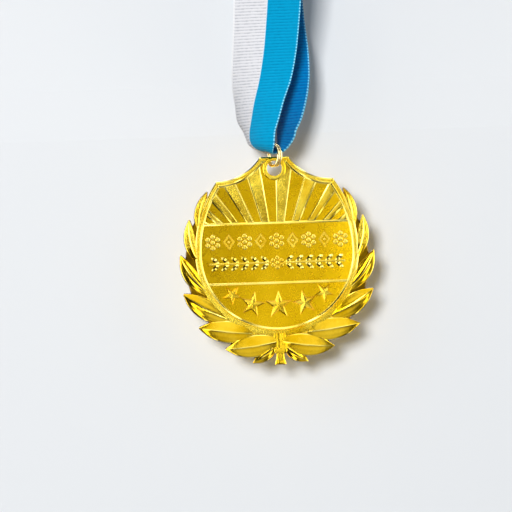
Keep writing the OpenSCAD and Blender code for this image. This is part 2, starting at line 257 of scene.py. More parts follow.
# %% [markdown]
# ## Gold finishes
# All of the medal is one plated casting, but its surfaces differ. The flat ground is matt and
# deep, the raised work is bright and grainy, the rays at the left are specked, and the leaves are
# polished, so that they mirror the light and the dark of the room. Bevels and ribs are the
# smoothest, as the rub of hands leaves them, and they are painted a paler, whiter gold than the
# rest: a painted highlight that draws them as bright lines. One function makes all of them: its
# values are a lighter and a deeper tone, the roughness and what smudges add to it, the grains to
# a metre, the share of coarse grain and the depth of the bump in millimetres.


# %% Gold
def gold(name, light, deep, rough, smudged, scale, coarse, depth):
    material = bpy.data.materials.new(name)
    material.use_nodes = True
    tree = material.node_tree
    shader = tree.nodes["Principled BSDF"]
    shader.inputs["Metallic"].default_value = 1.0
    place = add(tree, "TexCoord")
    grained = add(tree, "Group", {"Scale": scale, "Coarse": coarse}, node_tree=grain)
    toned = add(tree, "Group", {"Light": (*light, 1), "Deep": (*deep, 1)}, node_tree=tone)
    roughness = add(tree, "MapRange", {"To Min": rough, "To Max": rough + smudged})
    bump = add(tree, "Bump", {"Strength": 1.0, "Distance": depth * MM})
    wire(tree, place, "Object", grained, "Place")
    wire(tree, place, "Object", toned, "Place")
    wire(tree, grained, "Speck", toned, "Speck")
    wire(tree, grained, "Height", bump, "Height")
    wire(tree, toned, "Color", shader, "Base Color")
    wire(tree, toned, "Smudge", roughness, "Value")
    wire(tree, roughness, "Result", shader, "Roughness")
    wire(tree, bump, "Normal", shader, "Normal")
    return material


PALE, DEEP, SHADE_BROWN = (1.0, 0.76, 0.07), (0.84, 0.50, 0.004), (0.12, 0.06, 0.002)
MATT, MATT_DEEP, SPECK_DEEP = (0.80, 0.50, 0.006), (0.70, 0.42, 0.003), (0.4, 0.23, 0.001)
EDGE_HIGHLIGHT, EDGE_HIGHLIGHT_DEEP, ORANGE = (1.0, 0.82, 0.2), (1.0, 0.74, 0.08), (1.0, 0.66, 0.03)
DULL, DULL_DEEP, SHADE_UMBER = (0.8, 0.5, 0.01), (0.66, 0.38, 0.002), (0.3, 0.17, 0.002)
gold_ground = gold("gold_ground", MATT, MATT_DEEP, 0.26, 0.1, 2400, 0.3, 0.03)
gold_raised = gold("gold_raised", PALE, DEEP, 0.16, 0.1, 1700, 0.4, 0.06)
gold_speckled = gold("gold_speckled", PALE, SPECK_DEEP, 0.14, 0.1, 1400, 0.3, 0.3)
gold_band = gold("gold_band", PALE, DEEP, 0.18, 0.1, 2200, 0.3, 0.18)
gold_leaf = gold("gold_leaf", ORANGE, DEEP, 0.1, 0.12, 900, 0.6, 0.05)
# The edge gold is paler and whiter than the rest: a painted highlight for bevels and ribs, whose
# low roughness is the real rub.
gold_edge_highlight = gold("gold_edge_highlight", EDGE_HIGHLIGHT, EDGE_HIGHLIGHT_DEEP, 0.12, 0.08, 1700, 0.4, 0.02)
# Dark umber and brown gold for the leaves' walls and the bed between the leaves: painted shade,
# standing in for the shadow in the narrow gaps.
gold_painted_shade = gold("gold_painted_shade", SHADE_UMBER, SHADE_BROWN, 0.3, 0.12, 1700, 0.4, 0.2)
gold_back = gold("gold_back", DULL, DULL_DEEP, 0.32, 0.14, 2200, 0.5, 0.06)
ring_gilt = gold("ring_gilt", (0.98, 0.84, 0.46), (0.9, 0.70, 0.28), 0.14, 0.1, 3000, 0.5, 0.02)
print("finishes", [m.name for m in bpy.data.materials])

# %% [markdown]
# ## The medal's outline
# The outline is a round body, two long curves up to the shoulders and a hollow curve from each
# shoulder to the ear. It could be traced point by point, but every curve is an arc, so the
# outline can be set in by any distance without losing a point: the radii of the outer arcs shrink
# and those of the hollows grow.


# %% Outline and offsets
def arc(cx, cy, r, start, end, steps):
    turns = [start + (end - start) * i / steps for i in range(steps)]
    return [(cx + r * math.cos(a), cy + r * math.sin(a)) for a in turns]


SIDE_X = SIDE_R - BODY_R
HOLLOW_X = EAR_HALF + math.sqrt(HOLLOW_R**2 - (HOLLOW_R * HOLLOW_RISE) ** 2)
HOLLOW_Y = TOP_Y + HOLLOW_R * HOLLOW_RISE
BODY_STEPS, CURVE_STEPS, TOP_STEPS = 60, 30, 6


def outline(inset):
    side, hollow, top = SIDE_R - inset, HOLLOW_R + inset, TOP_Y - inset
    span = math.hypot(HOLLOW_X + SIDE_X, HOLLOW_Y)
    along = (side**2 - hollow**2 + span**2) / (2 * span)
    off = math.sqrt(side**2 - along**2)
    ux, uy = (HOLLOW_X + SIDE_X) / span, HOLLOW_Y / span
    sx, sy = -SIDE_X + along * ux + off * uy, along * uy - off * ux
    ear_x = HOLLOW_X - math.sqrt(hollow**2 - (HOLLOW_Y - top) ** 2)
    turn_a = math.atan2(sy - HOLLOW_Y, sx - HOLLOW_X)
    turn_b = math.atan2(top - HOLLOW_Y, ear_x - HOLLOW_X)
    turn_b -= 2 * math.pi if turn_b > turn_a else 0
    half = arc(0, 0, BODY_R - inset, -math.pi / 2, 0, BODY_STEPS)
    half += arc(-SIDE_X, 0, side, 0, math.atan2(sy, sx + SIDE_X), CURVE_STEPS)
    half += arc(HOLLOW_X, HOLLOW_Y, hollow, turn_a, turn_b, CURVE_STEPS)
    half += [(ear_x * (1 - i / TOP_STEPS), top) for i in range(TOP_STEPS + 1)]
    return half + [(-x, y) for x, y in reversed(half[1:-1])]


def level(points, z):
    return [stood(x, y, z) for x, y in points]


print(f"outline {len(outline(0))} points, {max(p[0] for p in outline(0)) * 2:.1f} mm wide")

# %% [markdown]
# ## Relief with bevelled edges
# Other flat shapes are set in by moving each point along the line that halves its corner.
# `raised` uses this to lift a shape off the plate with a soft edge, as a mould gives it, and
# `clipped` cuts a shape along a straight line.


# %% Setting in, raising and clipping
def spaced(points, least):
    kept = []
    for p in points:
        if not kept or math.dist(p, kept[-1]) > least:
            kept.append(p)
    while math.dist(kept[0], kept[-1]) <= least:
        kept.pop()
    return kept


def set_in(points, inset):
    moved = []
    for i, p in enumerate(points):
        a, b = points[i - 1], points[(i + 1) % len(points)]
        n1 = Vector((p[1] - a[1], a[0] - p[0])).normalized()
        n2 = Vector((b[1] - p[1], p[0] - b[0])).normalized()
        miter = (n1 + n2) / max(1 + n1.dot(n2), 0.3)
        moved.append((p[0] - inset * miter.x, p[1] - inset * miter.y))
    return moved


BEVEL_STEPS = [(0, 0.65), (0.9, 0.06), (1.1, 0)]


def raised(points, height, bevel):
    rows = [level(points, PLATE_T - SINK)]
    for inset, drop in BEVEL_STEPS:
        rows.append(level(set_in(points, bevel * inset), PLATE_T + height - bevel * drop))
    return loft(rows, caps=(True, True))


def clipped(points, a, b):
    """The part of a shape that lies left of the line from a to b."""

    def side(p):
        return (b[0] - a[0]) * (p[1] - a[1]) - (b[1] - a[1]) * (p[0] - a[0])

    kept = []
    for i, p in enumerate(points):
        q = points[(i + 1) % len(points)]
        sp, sq = side(p), side(q)
        if sp >= 0:
            kept.append(p)
        if sp * sq < 0:
            t = sp / (sp - sq)
            kept.append((p[0] + t * (q[0] - p[0]), p[1] + t * (q[1] - p[1])))
    return kept


# %% [markdown]
# ## Body and rim
# The body is one loft through the outline at many insets and heights: the rounded edge of the
# back, the side wall, the outer bevel, the granular band of the rim, the inner bevel, and the
# flat ground. A flat plate with a tube round it would be quicker, but the real rim has a shallow
# channel between two lips, and only its own section shows that. Each row of the profile is an
# inset from the outline and a height above the back.

# %% Body with its rim
RIM_TOP = PLATE_T + RIM_H
BODY_PROFILE = [
    (0.5, 0.0),
    (0.12, 0.06),
    (0.0, 0.3),
    (0.0, RIM_TOP - 0.3),
    (0.4, RIM_TOP - 0.03),
    (0.5, RIM_TOP),
    (0.56, RIM_TOP),
    (0.7, RIM_TOP - 0.14),
    (1.18, RIM_TOP - 0.14),
    (1.34, RIM_TOP),
    (1.42, RIM_TOP),
    (1.52, RIM_TOP - 0.04),
    (1.95, RIM_TOP - 0.34),
    (2.02, PLATE_T + 0.03),
    (2.1, PLATE_T),
]
BAND_ROWS = (6, 7, 8)
GROUND_FINISH, BAND_FINISH, BACK_FINISH = 1, 2, 3
rows = [level(outline(inset), z) for inset, z in BODY_PROFILE]
body = cast("medal_body", loft(rows, caps=(True, True)), gold_raised)
for finish in (gold_ground, gold_band, gold_back):
    body.data.materials.append(finish)
for face in body.data.polygons:
    face.material_index = BAND_FINISH if face.index // len(rows[0]) in BAND_ROWS else 0
body.data.polygons[-2].material_index = BACK_FINISH
body.data.polygons[-1].material_index = GROUND_FINISH

LEAST_LEAN, MOST_LEAN = 0.3, 0.97


def edged(piece, finish):
    """Give the bevels, which lean between a piece's walls and its top, a finish of their own."""
    piece.data.materials.append(finish)
    for face in piece.data.polygons:
        if LEAST_LEAN < -face.normal.y < MOST_LEAN:
            face.material_index = len(piece.data.materials) - 1


# The body's bevels take the edge gold, a painted highlight.
edged(body, gold_edge_highlight)

# %% [markdown]
# ## Crescent
# Towards the laurel the rim of the casting widens into a granular crescent. A second, larger
# outline would widen it all the way round, so the crescent is a loft of small sections along the
# lower arc. Its outer edge moves out and in again, and its inner edge hides in the rim.

# %% Crescent
CRESCENT_W, CRESCENT_LAP, CRESCENT_STEPS = 0.9, 1.1, 121
crescent_rows = []
for a in np.linspace(-math.pi * 0.92, -math.pi * 0.08, CRESCENT_STEPS):
    extra = CRESCENT_W * -math.sin(a)
    lap = CRESCENT_LAP * min(max((extra - 0.15) / 0.4, 0.05), 1)
    section = [
        (BODY_R - lap, PLATE_T),
        (BODY_R - lap, RIM_TOP - 0.15),
        (BODY_R - lap + 0.1, RIM_TOP + 0.01),
        (BODY_R + extra - 0.3, RIM_TOP + 0.01),
        (BODY_R + extra, RIM_TOP - 0.2),
        (BODY_R + extra, PLATE_T - SINK),
    ]
    crescent_rows.append([stood(r * math.cos(a), r * math.sin(a), z) for r, z in section])
cast("rim_crescent", loft(crescent_rows, caps=(True, True)), gold_band)

# %% [markdown]
# ## Hole and collar
# The ear has a round hole with a rounded collar. The hole crosses the rim and one of the rays, so
# it can't be part of their outlines. It is cut with a Boolean, and the result is kept as the
# mesh. The collar is a closed loft round the hole, held back at the top where the ear ends.

# %% The hole and its collar
HOLE_STEPS, DRILL_EXTRA, DRILL_PAST = 96, 0.06, 1


def round_row(r, z, reach=None):
    row = []
    for i in range(HOLE_STEPS):
        a = 2 * math.pi * i / HOLE_STEPS
        limit = r if reach is None or math.sin(a) <= 0 else min(r, reach / math.sin(a))
        row.append(stood(limit * math.cos(a), HOLE_Y + limit * math.sin(a), z))
    return row


def drilled(piece):
    """Cut the ear's hole through a piece with a Boolean, and keep the result as its mesh."""
    ends = [round_row(HOLE_R + DRILL_EXTRA, z) for z in (-DRILL_PAST, EAR_T + DRILL_PAST)]
    points, faces = loft(ends, caps=(True, True))
    drill_mesh = bpy.data.meshes.new("drill")
    drill_mesh.from_pydata([p * MM for p in points], [], faces)
    drill = bpy.data.objects.new("drill", drill_mesh)
    bpy.context.scene.collection.objects.link(drill)
    cut = piece.modifiers.new("hole", "BOOLEAN")
    cut.object, cut.operation, cut.solver = drill, "DIFFERENCE", "EXACT"
    bpy.context.view_layer.update()
    evaluated = piece.evaluated_get(bpy.context.evaluated_depsgraph_get())
    holed = bpy.data.meshes.new_from_object(evaluated)
    piece.modifiers.clear()
    piece.data = holed
    bpy.data.objects.remove(drill)
    print(f"{piece.name} with the hole: {len(holed.polygons)} faces")


drilled(body)

COLLAR_REACH = TOP_Y - 0.45 - HOLE_Y
collar_rows = [
    round_row(HOLE_R, 0.1),
    round_row(HOLE_R, EAR_T - 0.3),
    round_row(HOLE_R + 0.1, EAR_T - 0.1),
    round_row(HOLE_R + 0.35, EAR_T),
    round_row(HOLE_R + COLLAR_W - 0.55, EAR_T - 0.05, reach=COLLAR_REACH),
    round_row(HOLE_R + COLLAR_W - 0.2, EAR_T - 0.25, reach=COLLAR_REACH + 0.1),
    round_row(HOLE_R + COLLAR_W, EAR_T - 0.6, reach=COLLAR_REACH + 0.2),
    round_row(HOLE_R + COLLAR_W, PLATE_T - SINK, reach=COLLAR_REACH + 0.2),
    round_row(HOLE_R + 0.15, 0.1),
]
cast("medal_collar", loft(collar_rows, ring=True), gold_raised, sharp=50)

# %% [markdown]
# ## Sun rays and bars
# Ten wedges fan out from a sun that lies as far below the middle of the body as `SUN_Y` says.
# They could be laid out as plain triangles, but then the rim would have to hide their ends. So
# each one is the outline of the rim's inside, clipped by the two edges of the wedge and by the
# bar, and it ends at the rim without a gap. The mould gave them soft edges, which catch the light
# as a bright line. The rays at the left have the specked finish. The two bars slope: their upper
# edge falls back towards the plate.

# %% Rays
SUN_Y, RAY_PITCH, RAY_W, RAY_COUNT, RAY_SHIFT, RAY_BEVEL = 6.8, 5.07, 2.6, 10, 0.3, 0.42
UPPER_BAR_Y, LOWER_BAR_Y, BAR_W = 9.7, -10.2, 0.8
FAR_OUT, LEAST_STEP, CALM_FROM_X, UNDER_RIM = 60, 0.12, 4, 0.8
inside = outline(RIM_W * UNDER_RIM)
base_y = UPPER_BAR_Y + BAR_W / 2


def ray_end(x):
    """The point three times as far from the sun as (x, base_y), on the same line."""
    return (x * 3, base_y + 2 * (base_y + SUN_Y))


rays = []
for i in range(RAY_COUNT):
    x = (i - RAY_COUNT / 2 + RAY_SHIFT) * RAY_PITCH
    left, right = x - RAY_W / 2, x + RAY_W / 2
    fan = clipped(inside, (-FAR_OUT, base_y - 0.2), (FAR_OUT, base_y - 0.2))
    fan = clipped(fan, (right, base_y), ray_end(right))
    fan = clipped(fan, ray_end(left), (left, base_y))
    if len(fan) > 2:
        rays.append(raised(spaced(fan, LEAST_STEP), RELIEF_H, bevel=RAY_BEVEL))
sun = cast("sun_rays", joined(rays), gold_speckled)
sun.data.materials.append(gold_raised)
for face in sun.data.polygons:
    face.material_index = int(face.center.x > CALM_FROM_X * MM)
# The rays' bevels take the edge gold, a painted highlight.
edged(sun, gold_edge_highlight)
drilled(sun)

# %% Bars
BAR_RISE, BAR_BEVEL, BAR_SLOPE = 0.1, 0.1, 0.42


def bar(y):
    low, high = y - BAR_W / 2, y + BAR_W / 2
    strip = clipped(inside, (-FAR_OUT, low), (FAR_OUT, low))
    strip = spaced(clipped(strip, (FAR_OUT, high), (-FAR_OUT, high)), LEAST_STEP)
    points, faces = raised(strip, RELIEF_H + BAR_RISE, bevel=BAR_BEVEL)
    plate_y = EAR_T / 2 - PLATE_T
    for p in points:
        if p.y < plate_y:
            p.y = min(p.y + BAR_SLOPE * (p.z - (low + MEDAL_Z)), plate_y)
    return points, faces


bars = cast("cross_bars", joined([bar(UPPER_BAR_Y), bar(LOWER_BAR_Y)]), gold_raised)
# The bars' bevels take the edge gold, a painted highlight.
edged(bars, gold_edge_highlight)

# %% [markdown]
# ## Ornament of the middle band
# Two rows of plain, common ornament fill the band: rosettes and lozenges above, and a sprig of
# small laurel leaves on both sides of a rosette below. Petals are domes, lozenges are bevelled
# frames and each leaf has a midrib. They could be a bump in the finish, but real relief throws
# its own light and shade from every side.

# %% Domes and rosettes
DOME_STEPS, DOME_LEVELS, DOME_WALL = 20, 5, 0.35
PETALS, PETAL_AT, PETAL_R, HEART_R, PETAL_RISE, HEART_RISE = 6, 0.7, 0.3, 0.28, 1.1, 1.25


def disc(x, y, r, z):
    turns = np.linspace(0, 2 * math.pi, DOME_STEPS, endpoint=False)
    return [stood(x + r * math.cos(t), y + r * math.sin(t), z) for t in turns]


def dome(x, y, r, height):
    rows = [disc(x, y, r, PLATE_T - SINK)]
    for k in range(DOME_LEVELS):
        a = k / DOME_LEVELS * math.pi / 2
        z = PLATE_T + height * (DOME_WALL + (1 - DOME_WALL) * math.sin(a))
        rows.append(disc(x, y, r * math.cos(a), z))
    return loft(rows, caps=(True, True))


def rosette(x, y, r):
    petals = [dome(x, y, r * HEART_R, RELIEF_H * HEART_RISE)]
    for i in range(PETALS):
        a = math.radians(90 + i * 360 / PETALS)
        at_x, at_y = x + r * PETAL_AT * math.cos(a), y + r * PETAL_AT * math.sin(a)
        petals.append(dome(at_x, at_y, r * PETAL_R, RELIEF_H * PETAL_RISE))
    return petals


# %% Lozenges
LOZENGE_W, OPEN_W, OPEN_H, BEAD_R, LOZENGE_BEVEL = 0.75, 0.42, 0.56, 0.17, 0.14


def diamond(x, y, half_w, half_h):
    return [(x + half_w, y), (x, y + half_h), (x - half_w, y), (x, y - half_h)]


def lozenge(x, y, r):
    outer, inner = diamond(x, y, r * LOZENGE_W, r), diamond(x, y, r * OPEN_W, r * OPEN_H)
    top = PLATE_T + RELIEF_H
    rows = [
        level(outer, PLATE_T - SINK),
        level(outer, top - LOZENGE_BEVEL),
        level(set_in(outer, LOZENGE_BEVEL), top),
        level(set_in(inner, -LOZENGE_BEVEL), top),
        level(inner, top - LOZENGE_BEVEL),
        level(inner, PLATE_T - SINK),
    ]
    return [loft(rows, ring=True), dome(x, y, r * BEAD_R, RELIEF_H)]


# %% Small leaves
SPRIG_STEPS, SPRIG_WALL_H, SPRIG_RIB_H = 10, 0.16, 0.4


def small_leaf(x, y, length, width, turn):
    rows = []
    for k in range(SPRIG_STEPS + 1):
        s = 0.02 + 0.96 * k / SPRIG_STEPS
        px, half = s * length, width / 2 * 4 * s * (1 - s)
        rib = SPRIG_WALL_H + SPRIG_RIB_H * math.sin(math.pi * s) ** 0.6
        wall = [(1, SPRIG_WALL_H), (1, -SINK)]
        section = [(-side, z) for side, z in reversed(wall)] + [(0, rib)] + wall
        row = []
        for side, z in section:
            at_x = x + px * math.cos(turn) - side * half * math.sin(turn)
            at_y = y + px * math.sin(turn) + side * half * math.cos(turn)
            row.append(stood(at_x, at_y, PLATE_T + z))
        rows.append(row)
    return loft(rows, caps=(True, True))


# %% Two rows of ornament
MOTIF_PITCH, MOTIF_R, MOTIF_COUNT, SPRIG_PITCH, SPRIG_PAIRS = 5.3, 2.7, 9, 3.3, 6
ROSETTE_ROW_Y, SPRIG_ROW_Y, SPRIG_TURN = 3.75, -3.5, math.radians(40)
SPRIG_L, SPRIG_W, SMALL_ROSETTE = MOTIF_R * 1.35, MOTIF_R * 0.5, 0.85
TWIG_FROM, TWIG_HALF, TWIG_RISE, TWIG_BEVEL = MOTIF_R * 0.8, MOTIF_R * 0.1, RELIEF_H * 0.8, 0.12
ornament = []
for i in range(MOTIF_COUNT):
    motif = rosette if i % 2 == 0 else lozenge
    ornament += motif((i - MOTIF_COUNT // 2) * MOTIF_PITCH, ROSETTE_ROW_Y, MOTIF_R)
ornament += rosette(0, SPRIG_ROW_Y, MOTIF_R * SMALL_ROSETTE)
for side in (-1, 1):
    low, high = SPRIG_ROW_Y - TWIG_HALF, SPRIG_ROW_Y + TWIG_HALF
    end = MOTIF_R + SPRIG_PITCH * SPRIG_PAIRS
    twig = [(TWIG_FROM, low), (end, low), (end, high), (TWIG_FROM, high)]
    if side < 0:
        twig = [(-x, y) for x, y in reversed(twig)]
    ornament.append(raised(twig, TWIG_RISE, bevel=TWIG_BEVEL))
    for i in range(SPRIG_PAIRS):
        x = side * (MOTIF_R + i * SPRIG_PITCH)
        for lean in (-SPRIG_TURN, SPRIG_TURN):
            turn = lean if side > 0 else math.pi - lean
            ornament.append(small_leaf(x, SPRIG_ROW_Y, SPRIG_L, SPRIG_W, turn))
frieze = cast("band_ornament", joined(ornament), gold_raised)
# The ornament's bevels take the edge gold, a painted highlight.
edged(frieze, gold_edge_highlight)

# %% [markdown]
# ## Stars
# Five stars stand in the lower field. Each has a polished slope round its foot, painted in the
# paler edge gold as a painted highlight, which draws its outline in bright and dark lines, and a
# low, almost flat pyramid on top in the gold of the raised work.

# %% Stars
STARS = [(0, -17.6, 4.8, 0), (8.75, -17.1, 4.392, 13), (15.3, -13.8, 3.54, 37)]
STAR_H, SLOPE_H, SLOPE_END, STAR_WAIST, STAR_CORNERS = 0.7, 0.5, 0.74, 0.4, 10


def star_ring(x, y, r, tilt):
    ring = []
    for i in range(STAR_CORNERS):
        s = r if i % 2 == 0 else r * STAR_WAIST
        a = math.radians(i * 360 / STAR_CORNERS + tilt)
        ring.append((x - s * math.sin(a), y + s * math.cos(a)))
    return ring


def star(x, y, r, tilt):
    foot, brow = star_ring(x, y, r, tilt), star_ring(x, y, r * SLOPE_END, tilt)
    levels = [level(foot, PLATE_T - SINK), level(foot, PLATE_T), level(brow, PLATE_T + SLOPE_H)]
    points, faces = loft(levels, caps=(True, False))
    base = faces.pop()
    apex, first = len(points), 2 * STAR_CORNERS
    points.append(stood(x, y, PLATE_T + STAR_H))
    for i in range(STAR_CORNERS):
        faces.append((first + i, first + (i + 1) % STAR_CORNERS, apex))
    return points, faces + [base]


star_shapes = [star(*STARS[0])]
for x, y, r, tilt in STARS[1:]:
    star_shapes += [star(x, y, r, tilt), star(-x, y, r, -tilt)]
stars = cast("field_stars", joined(star_shapes), gold_raised, sharp=5)
# The slope round each star's foot takes the edge gold, a painted highlight.
stars.data.materials.append(gold_edge_highlight)
for face in stars.data.polygons:
    face.material_index = int(face.index % (3 * STAR_CORNERS + 1) // STAR_CORNERS == 1)

# %% [markdown]
# ## Laurel
# Seven leaves climb each side from the tied stem. A leaf is lofted from its base to its tip: each
# row crosses the leaf from edge to edge and rises to the midrib. Long shallow grooves run beside
# the rib, as on the casting, and the polished finish turns them into streaks of light. A row of
# the table gives where a leaf starts and ends (radius and angle), its width, bend and lift. All
# but the angles are shares of the body's radius.

# %% Leaves
LEAVES = [
    (0.985, 17, 1.133, 42.4, 0.125, 0.035, 0),
    (0.975, -5, 1.146, 21.9, 0.15, 0.04, 0.004),
    (0.985, -29, 1.185, -0.4, 0.19, 0.04, 0.008),
    (1.03, -51, 1.258, -22.5, 0.25, 0.02, 0.013),
    (1.045, -71, 1.336, -42.4, 0.265, 0.01, 0.019),
    (1.1, -87.7, 1.347, -60.3, 0.265, 0.015, 0.026),
    (1.13, -87, 1.391, -75.9, 0.15, 0.02, 0.01),
]
FORM_S = [0, 0.16, 0.38, 0.6, 0.78, 0.92, 1]
FORM_HALF = [0.45, 0.8, 1, 0.93, 0.68, 0.3, 0.04]
FORM_CROWN = [0.3, 0.75, 1, 0.95, 0.75, 0.4, 0.1]
LEAF_EDGE, LEAF_CROWN, LEAF_BACK, BACK_STEP = 1.5, 0.9, 0.2, 0.06
RIB_CREST, RIB_HALF, EDGE_FALL, EDGE_FROM, GROOVE_D = 0.1, 0.1, 0.12, 0.88, 0.035
WALL_DRAFT, WALL_TOP = 0.25, 0.25
LEAF_ROWS, LEAF_SIDE = 36, 14


def cubic(t, span, start, end, slope_start, slope_end):
    """A cubic step from start to end, which has the given slopes at both."""
    return (
        (2 * t**3 - 3 * t**2 + 1) * start
        + (t**3 - 2 * t**2 + t) * span * slope_start
        + (3 * t**2 - 2 * t**3) * end
        + (t**3 - t**2) * span * slope_end
    )


def eased(x, xs, ys):
    """A smooth curve through a short table, in cubic steps."""
    last = len(xs) - 1
    i = min(sum(v < x for v in xs[1:]), last - 1)
    slopes = []
    for k in (i, i + 1):
        a, b = max(k - 1, 0), min(k + 1, last)
        slopes.append((ys[b] - ys[a]) / (xs[b] - xs[a]))
    span = xs[i + 1] - xs[i]
    return cubic((x - xs[i]) / span, span, ys[i], ys[i + 1], *slopes)


def round_place(radius, degrees):
    a = math.radians(degrees)
    return Vector((math.cos(a), math.sin(a))) * radius * BODY_R


def leaf(row, side, index):
    start_r, start_turn, end_r, end_turn, width, bend, lift = row
    base, tip = round_place(start_r, start_turn), round_place(end_r, end_turn)
    out = Vector((tip.y - base.y, base.x - tip.x)).normalized()
    back, edge = LEAF_BACK + BACK_STEP * (index + 1), LEAF_EDGE + lift * BODY_R
    widest = width * BODY_R / 2
    rows = []
    for k in range(LEAF_ROWS + 1):
        s = k / LEAF_ROWS
        mid = base + (tip - base) * s + out * bend * BODY_R * 4 * s * (1 - s)
        half = widest * max(eased(s, FORM_S, FORM_HALF), 0.02)
        crown = LEAF_CROWN * eased(s, FORM_S, FORM_CROWN)
        groove = GROOVE_D * math.sin(math.pi * min(1, s * 1.05)) ** 0.7 * half / widest
        section = [(-half - WALL_DRAFT, back), (-half, edge - WALL_TOP)]
        for v in np.linspace(-1, 1, LEAF_SIDE * 2 + 1):
            a = abs(v)
            z = edge + crown * (1 - a) ** 0.85
            z -= groove * (0.5 - 0.5 * math.cos(4 * math.pi * a)) * (1 - a**6)
            z += RIB_CREST * max(0, 1 - a / RIB_HALF) * min(1, 4 * (1 - s))
            z -= EDGE_FALL * max(0, (a - EDGE_FROM) / (1 - EDGE_FROM))
            section.append((v * half, z))
        section += [(half, edge - WALL_TOP), (half + WALL_DRAFT, back)]
        rows.append([stood(side * (mid.x + out.x * w), mid.y + out.y * w, z) for w, z in section])
    return loft(rows, caps=(True, True))


# %% [markdown]
# The strips of a leaf's section tell its surfaces apart: the walls are painted dark brown, as
# painted shade in the recesses between the leaves, and the edges and the midrib are polished and
# painted in the paler edge gold, a painted highlight. The rest is leaf gold, and specked on the
# leaves above the middle.

# %% Laurel leaves
SPECKED_FINISH, SHADED_WALL_FINISH, HIGHLIGHT_FINISH = 1, 2, 3
SECTION_FACES = LEAF_SIDE * 2 + 5
WALL_STRIPS, BRIGHT_STRIPS = (0, 31), (1, 2, 15, 16, 29, 30)
SPECKED_FROM_Y = 2
laurel_shapes = [leaf(row, side, i) for i, row in enumerate(LEAVES) for side in (-1, 1)]
laurel = cast("laurel_leaves", joined(laurel_shapes), gold_leaf, sharp=55)
for finish in (gold_speckled, gold_painted_shade, gold_edge_highlight):
    laurel.data.materials.append(finish)
for face in laurel.data.polygons:
    row, strip = divmod(face.index % (LEAF_ROWS * SECTION_FACES + 2), SECTION_FACES)
    is_end = row == LEAF_ROWS
    # Leaf walls take the dark painted shade, and edges and midrib the edge gold, a painted
    # highlight.
    if strip in WALL_STRIPS and not is_end:
        face.material_index = SHADED_WALL_FINISH
    elif strip in BRIGHT_STRIPS and not is_end:
        face.material_index = HIGHLIGHT_FINISH
    elif face.center.z > (MEDAL_Z + SPECKED_FROM_Y) * MM:
        face.material_index = SPECKED_FINISH

# %% [markdown]
# ## Laurel bed and tied stem
# The bed is a round plate, set a little lower than the body, that fills the space between the
# leaves and shows as a granular crescent below the rim. Its walls and its part above the crescent
# are painted dark brown: painted shade for the gaps between the leaves. The stem is three stalks
# bound by a tie.
# They could be separate rods, but in the casting they melt into one piece, so the stem is lofted
# downwards through sections with three soft ridges. Its half-width follows a short table that
# swells at the tie, where the ridges end, and its foot has a notch.

# %% Laurel bed
BED_R, BED_Y, BED_T, BED_BACK, BED_STEPS = BODY_R + 3.1, -3.3, 1.2, 0.1, 144
BED_TOP_Y, BED_TOP, SHADE_FROM_Y = HOLE_Y - HOLE_R - 0.6, BED_BACK + BED_T, -21
BED_PROFILE = [
    (-0.2, BED_BACK),
    (-0.35, BED_BACK + 0.15),
    (0, BED_TOP - 0.15),
    (0.15, BED_TOP),
    (5, BED_TOP),
]


def bed_row(inset, z):
    r, row = BED_R - inset, []
    for a in np.linspace(0, 2 * math.pi, BED_STEPS, endpoint=False):
        row.append((r * math.cos(a), min(BED_Y + r * math.sin(a), BED_TOP_Y - inset)))
    return level(row, z)


bed_rows = [bed_row(inset, z) for inset, z in BED_PROFILE]
bed = cast("laurel_bed", loft(bed_rows, caps=(True, True)), gold_band)
bed.data.materials.append(gold_painted_shade)
# The bed's walls and its part above the crescent take the dark painted shade.
for face in bed.data.polygons:
    is_wall = face.index < 2 * BED_STEPS
    is_shaded_high = face.center.z > (MEDAL_Z + SHADE_FROM_Y) * MM
    face.material_index = int(len(face.vertices) == 4 and (is_wall or is_shaded_high))

# %% Tied stem
STEM_S, STEM_FORM = [0, 0.36, 0.48, 0.52, 0.6, 0.66, 1], [1, 0.9, 0.95, 1.12, 1.05, 0.6, 0.9]
STEM_HALF, STEM_TOP, STEM_Y, STEM_T, STEM_BACK = 2.1, 27.0, 37.35, 2.6, 0.05
TIE_AT, TIE_HALF, RIDGE_H, TIE_H, NOTCH_FROM, NOTCH = 0.55, 0.06, 0.16, 0.26, 0.93, 0.55
STEM_ROWS, STEM_ACROSS = 60, 24


def stem_section(s):
    y = -STEM_TOP - s * (STEM_Y - STEM_TOP)
    half = STEM_HALF * eased(s, STEM_S, STEM_FORM)
    tie = math.exp(-(((s - TIE_AT) / TIE_HALF) ** 4))
    section = [(-half, STEM_BACK), (-half, STEM_T - 0.55)]
    for v in np.linspace(-1, 1, STEM_ACROSS + 1):
        ridges = RIDGE_H * (1 - tie) * (0.5 + 0.5 * math.cos(3 * math.pi * v))
        section.append((v * half, STEM_T - 0.32 - 0.22 * v**4 + ridges + TIE_H * tie))
    section += [(half, STEM_T - 0.55), (half, STEM_BACK)]
    notch = NOTCH * max(0, (s - NOTCH_FROM) / (1 - NOTCH_FROM))
    return [stood(w, y + notch * (1 - (w / half) ** 2), z) for w, z in section]


stem_rows = [stem_section(k / STEM_ROWS) for k in range(STEM_ROWS + 1)]
cast("laurel_stem", loft(stem_rows, caps=(True, True)), gold_leaf, sharp=45)

# %% [markdown]
# ## Split ring
# The ring is one wire wound almost twice, like a key ring. Two plain rings side by side would
# look much the same from afar, but the real wire crosses from one coil to the other, which is
# where its ends show. So it is a tube swept along a helix that steps across over a short stretch.

# %% Split ring
RING_DIR = Vector((math.sin(RING_TURN), -math.cos(RING_TURN), 0))
RING_AXIS = Vector((math.cos(RING_TURN), math.sin(RING_TURN), 0))
UP, RING_MID = Vector((0, 0, 1)), Vector((0, 0, -DROP))
SPLIT_AT, CROSS_SPAN, WIRE_STEPS, WIRE_SIDES, END_SHARE = 250, 50, 260, 20, 0.75


